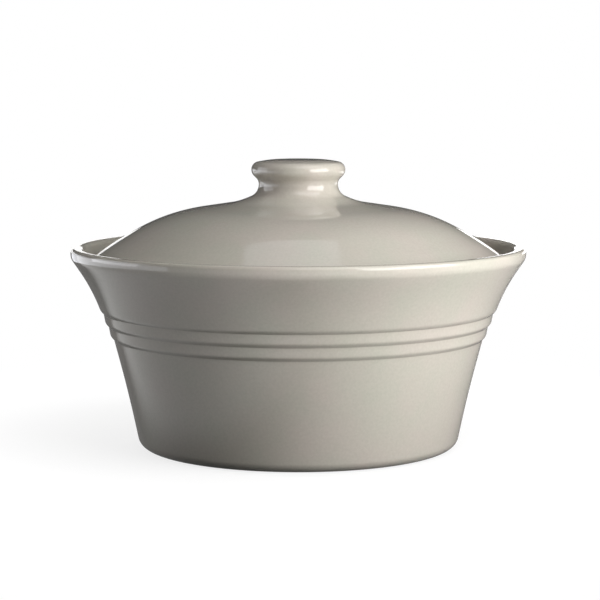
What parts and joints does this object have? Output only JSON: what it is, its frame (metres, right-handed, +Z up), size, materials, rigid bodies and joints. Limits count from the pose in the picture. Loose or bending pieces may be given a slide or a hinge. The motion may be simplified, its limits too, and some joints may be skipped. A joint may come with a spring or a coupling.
{
  "type": "casserole dish",
  "caption": "Round glazed stoneware casserole dish with a flared, banded wall and a domed lid that lifts off by its knob, for cooking and serving at the table.",
  "frame": {"origin": "centre of the foot ring, on the surface that the dish stands on", "axes": "+Z up along the axis of the dish and lid, X and Y any two directions across it"},
  "size_m": [0.29, 0.29, 0.1834],
  "materials": {
    "dish_glaze": "glossy opaque warm grey glaze on stoneware, bare clay on the foot ring",
    "lid_glaze": "glossy opaque warm grey glaze on stoneware, bare clay on the seat"
  },
  "bodies": {
    "dish": {"dish": "dish_glaze"},
    "lid": {"lid": "lid_glaze"}
  },
  "joints": [
    {"name": "lid_lift", "type": "slide", "parent": "dish", "child": "lid", "axis": [0, 0, 1], "range_m": [0, 0.15]}
  ]
}
